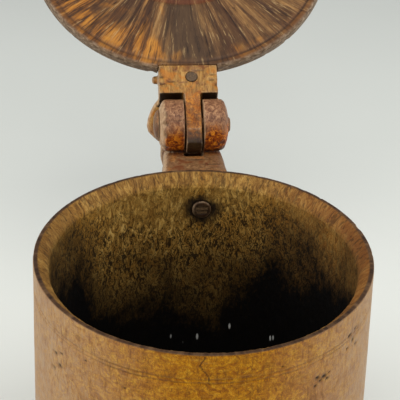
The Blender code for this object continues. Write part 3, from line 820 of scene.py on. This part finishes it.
def wear_lid(mesh):
    """Age the lid's surface, and paint the places that its material reads."""
    p = coordinates(mesh)
    r, turn, z = polar(p)
    rays = np.stack([np.cos(turn) * 30, np.sin(turn) * 30, r * 0.04], 1)
    face = (z < 1.3) & (r < LID_R - 1.2)
    cracks = face * radial_cracks(r, turn)
    fading = step(-0.3, 0.5, field(rays, 0.05, 38) + 0.6 * np.cos(turn - 0.5))
    line = face * fading * np.exp(-((r - LID_LINE_R) / 0.55) ** 2)
    chips = np.maximum(layered(p, 0.16, 3, 33) - 0.35, 0) * step(LID_R - 2.5, LID_R - 0.5, r)
    shift = np.where(face, 0.16 * layered(rays, 0.9, 3, 31), 0)
    shift = shift - 0.45 * cracks - 0.55 * line - 0.9 * chips
    place(mesh, p + normals(mesh) * np.minimum(shift, 0.0)[:, None])

    # Painted shade: dark lines at the top's two steps stand in for the shading of the step edges, stored with
    # the cracks.
    steps = 0.6 * (z > LID_EDGE) * sum(np.exp(-((r - at) / 0.7) ** 2) for at in LID_STEPS_R)
    line_shade = line * (0.45 + 0.45 * field(rays, 0.12, 36))
    heart = step(RECESS_R + 0.5, RECESS_R - 1.5, r + 0.8 * field(p, 0.2, 35))
    paint(mesh, "edge", step(LID_R - 1.6, LID_R - 0.5, r))
    paint(mesh, "top", step(LID_EDGE - 1.2, LID_EDGE - 0.2, z))
    paint(mesh, "heart", 0.4 * face * heart)
    paint(mesh, "crack_and_line_shade", np.maximum(np.maximum(cracks, steps), line_shade))


def build_lid(material):
    """The lid disc with its tab and peg holes, made shut about its own axis and then swung open."""
    lid = turned_disc("lid_shell", lid_profile(), np.radians(np.arange(0, 360, 0.6)))
    notch_half = BAR_HALF + 0.3
    carve(lid, post("notch", notch_half, -5, 30, BAR_X, NOTCH_Y + notch_half))
    carve(lid, post("tab", TAB_HALF, *TAB_Z, 0, TAB_Y), "UNION")
    carve(lid, rod(PEG_HOLE_R, -5, 30, "Z", (PIN_MM[0], ARM_PEG_Y, 0)))
    for y in STRAP_PEGS_Y:
        carve(lid, rod(PEG_HOLE_R, 2.3, 40, "Z", (0, y, 0)))
    wear_lid(lid.data)
    lid.data.materials.clear()
    lid.data.materials.append(material)
    smooth_shade(lid)
    lid.data.transform(SWING @ Matrix.Translation((0, 0, SEAT_Z * MM)))
    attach(lid, "lid")
    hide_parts("lid_disc")


def stained(p):
    """Inner end of the tenons, darkened by what the tankard held."""
    return step(75.0, 73.0, np.hypot(p[:, 0], p[:, 1])) * (p[:, 2] < RIM_Z - 8)


def around_pin(p):
    """Distance from the pin's axis, and the bearing about it in degrees: 0 straight back, 90 up."""
    from_pin = p - PIN_MM
    return np.hypot(from_pin[:, 1], from_pin[:, 2]), np.degrees(np.arctan2(from_pin[:, 2], from_pin[:, 1]))


def handle_paint(p, n):
    """Rosy wood on top of the ears, clear amber low on them, darker at their foot, and painted light on faces
    turned to the left.
    """
    height = p[:, 2] - PIN_MM[2]
    distance, _ = around_pin(p)
    uneven = 3.4 * field(p, 0.16, 57)
    ears = step(16.5, 13.5, distance) * step(11.0, -1.0, p[:, 1] - PIN_MM[1] + 1.5 * uneven)
    amber = ears * step(7.0, 0.0, height + uneven)
    rosy = ears * (1 - amber)
    grime_and_shade = ears * step(-7.0, -11.5, height + uneven) * 0.9 + stained(p) * 0.85
    # Painted light: faces turned to the left are painted paler.
    worn_and_lit = step(-0.30, -0.75, n[:, 0]) * 0.85 * (p[:, 2] > RIM_Z - 12)
    return amber, rosy, grime_and_shade, worn_and_lit


def arm_paint(p, n):
    """Amber along the tongue up to a pale edge, painted shade beyond it on the tongue's end, a painted shadow
    on the bar's end face, and painted light on faces turned to the left.
    """
    distance, bearing = around_pin(p)
    tongue = step(5.6, 4.8, np.abs(p[:, 0] - PIN_MM[0]))
    amber = tongue * step(-20.0, -10.0, p[:, 1] - PIN_MM[1]) * (p[:, 2] < SEAT_Z + 2) * 0.52
    # Painted shade on the tongue's far end, deepening as it turns away from the light.
    far_end = tongue * step(-50.0, -47.0, bearing) * step(40.0, 20.0, bearing) * step(8.0, 11.0, distance)
    far_end = far_end * (0.45 + 0.45 * step(-44.0, -20.0, bearing))
    # Painted shadow on the bar's end face.
    bar_end = (p[:, 1] > BAR_BACK_Y[0]) & (p[:, 1] < BAR_BACK_Y[1]) & (p[:, 2] < RIM_Z + 14)
    bar_end = bar_end * (1 - tongue) * step(0.55, 0.85, n[:, 1])
    grime_and_shade = np.maximum(far_end, bar_end * 0.95)
    pale_edge = 0.9 * tongue * np.exp(-((bearing + 49.0) / 2.4) ** 2) * step(9.0, 11.0, distance)
    # Painted light: faces turned to the left are painted paler, besides the pale edge.
    worn_and_lit = np.maximum(pale_edge, step(-0.30, -0.75, n[:, 0]) * 0.75)
    rosy = 0.75 * step(PIN_MM[2] + 13, PIN_MM[2] + 17, p[:, 2]) * (p[:, 1] > 100)
    return amber, rosy, grime_and_shade, worn_and_lit


def softened(node, name, place_matrix, voxel):
    """A CAD node's shape with an even mesh and softened edges, moved back through place_matrix."""
    mesh = frame["nodes"][node].data.copy()
    mesh.transform(place_matrix.inverted())
    piece = link(name, mesh)
    remesh = piece.modifiers.new("remesh", "REMESH")
    remesh.mode = "VOXEL"
    remesh.voxel_size = voxel * MM
    soften = piece.modifiers.new("soften", "SMOOTH")
    soften.factor = 0.5
    soften.iterations = 3
    return baked(piece)


def bending(mesh, p, n):
    """How the surface bends near each vertex: above 0 on edges, below 0 in hollows."""
    edges = np.zeros(len(mesh.edges) * 2, np.int32)
    mesh.edges.foreach_get("vertices", edges)
    edges = edges.reshape(-1, 2)
    bend = np.zeros(len(p))
    count = np.zeros(len(p))
    run = p[edges[:, 1]] - p[edges[:, 0]]
    length = np.maximum(np.linalg.norm(run, axis=1), 1e-6)
    for end, sign in ((0, 1), (1, -1)):
        np.add.at(bend, edges[:, end], -sign * (run * n[edges[:, end]]).sum(1) / length)
        np.add.at(count, edges[:, end], 1)
    count = np.maximum(count, 1)
    bend = bend / count
    for _ in range(4):
        total = np.zeros(len(p))
        np.add.at(total, edges[:, 0], bend[edges[:, 1]])
        np.add.at(total, edges[:, 1], bend[edges[:, 0]])
        bend = 0.5 * bend + 0.5 * total / count
    return bend


def carved_copy(node, name, body, material, place_matrix, voxel, gouges, painter):
    """A CAD node's shape with uneven, hand-cut surfaces, painted paler on rubbed edges and in painted light,
    and darker in hollows, on stained ends and in painted shade.
    """
    piece = softened(node, name, place_matrix, voxel)
    mesh = piece.data
    p = coordinates(mesh)
    n = normals(mesh)
    bend = bending(mesh, p, n)
    shift = 0.10 * layered(p, 0.16, 3, 51) - 0.10
    cut_in = np.zeros(len(p))
    for centre, size, amount in gouges:
        distance = np.linalg.norm((p - np.array(centre)) / np.array(size), axis=1)
        shift -= amount * np.exp(-distance ** 2)
        cut_in = np.maximum(cut_in, np.exp(-(distance * 1.15) ** 2))
    place(mesh, p + n * np.minimum(shift, 0.0)[:, None])
    rub = layered(p, 0.35, 3, 52)
    # Hollows and gouges are painted dark.
    hollows = np.maximum(step(0.02, 0.14, -bend + 0.03 * rub) * 0.85, 0.8 * cut_in)
    amber, rosy, grime_and_shade, worn_and_lit = painter(p, n)
    paint(mesh, "worn_and_lit", np.maximum(step(0.05, 0.20, bend + 0.05 * rub) * 0.5, worn_and_lit))
    paint(mesh, "grime_and_shade", np.maximum(hollows, grime_and_shade))
    paint(mesh, "amber", amber)
    paint(mesh, "rosy", rosy)
    mesh.transform(place_matrix)
    mesh.materials.clear()
    mesh.materials.append(material)
    smooth_shade(piece)
    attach(piece, body)
    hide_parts(node)


# ---------------------------------------------------------------- setting

def build_camera():
    """Above and in front of the rim, looking down at the open mouth with the hinge behind."""
    offset = Vector((sin(VIEW_SIDE) * cos(VIEW_RISE), -cos(VIEW_SIDE) * cos(VIEW_RISE), sin(VIEW_RISE)))
    forward = -offset
    right = Vector((cos(VIEW_SIDE), sin(VIEW_SIDE), 0))
    up = right.cross(forward)
    rolled_right = right * cos(VIEW_ROLL) + up * sin(VIEW_ROLL)
    rolled_up = -right * sin(VIEW_ROLL) + up * cos(VIEW_ROLL)
    axes = Matrix((rolled_right, rolled_up, forward))
    to_rim = Vector((*RIM_SLOPES, 1)).normalized()
    axes = Vector((0, 0, 1)).rotation_difference(to_rim).to_matrix() @ axes
    camera = bpy.data.cameras.new("camera")
    camera.sensor_width = 36.0
    camera.lens = VIEW_LENS
    camera.clip_start = 0.05
    item = bpy.data.objects.new("camera", camera)
    bpy.context.scene.collection.objects.link(item)
    columns = Matrix((axes[0], axes[1], -axes[2])).transposed()
    place_at = Vector((0, 0, RIM_Z * MM)) + offset * VIEW_DISTANCE
    item.matrix_world = Matrix.Translation(place_at) @ columns.to_4x4()
    bpy.context.scene.camera = item


def panel(name, where, power, tint=(1, 1, 1), size=(1.2, 1.2)):
    """A soft rectangular light aimed at the tankard."""
    light = bpy.data.lights.new(name, "AREA")
    light.shape = "RECTANGLE"
    light.size, light.size_y = size
    light.energy = power
    light.color = tint
    item = bpy.data.objects.new(name, light)
    bpy.context.scene.collection.objects.link(item)
    item.location = where
    aim = Vector((0, 0, 0.12)) - Vector(where)
    item.rotation_euler = aim.to_track_quat("-Z", "Y").to_euler()


def build_setting():
    """Pale floor, even sky light, a window at each side and one light overhead."""
    mesh = bpy.data.meshes.new("floor")
    half = FLOOR_SIZE / 2
    corners = [(-half, -half, 0), (half, -half, 0), (half, half, 0), (-half, half, 0)]
    mesh.from_pydata(corners, [], [(0, 1, 2, 3)])
    floor = link("floor", mesh)
    mesh.materials.append(floor_material())
    world = bpy.data.worlds.new("studio")
    world.use_nodes = True
    sky = world.node_tree.nodes["Background"]
    sky.inputs["Color"].default_value = (0.93, 0.96, 1.0, 1.0)
    sky.inputs["Strength"].default_value = SKY_STRENGTH
    bpy.context.scene.world = world
    panel("left_window", (-1.3, -0.1, 0.75), 13.0)
    panel("right_window", (1.3, -0.1, 0.75), 11.5)
    panel("overhead", (0.0, -0.5, 1.5), 14.0, (1.0, 0.98, 0.95), (1.4, 1.0))
    bpy.context.scene.view_settings.view_transform = "Standard"
    bpy.context.scene.view_settings.look = "None"


def main():
    """The setting, then the pieces, then wood for the CAD nodes that stay."""
    build_camera()
    build_setting()
    build_body(body_material())
    build_lid(lid_material())
    handle_wood = carved_material("carved_handle_wood", (1.0, 1.0, 0.2), False, 0.3, HANDLE_TONES)
    arm_wood = carved_material("carved_arm_wood", (1.0, 0.2, 1.0), True, 0.6, ARM_TONES)
    unmoved = Matrix.Identity(4)
    carved_copy("handle", "handle_carved", "tankard", handle_wood, unmoved, 0.55, HANDLE_GOUGES, handle_paint)
    carved_copy("lid_arm", "lid_arm_carved", "lid", arm_wood, SWING, 0.5, ARM_GOUGES, arm_paint)
    coats = dict.fromkeys(PEGS, peg_material())
    coats["hinge_pin"] = handle_wood
    coats["bottom_board"] = board_material()
    for name, material in coats.items():
        frame["nodes"][name].data.materials.clear()
        frame["nodes"][name].data.materials.append(material)


main()
bpy.context.view_layer.update()
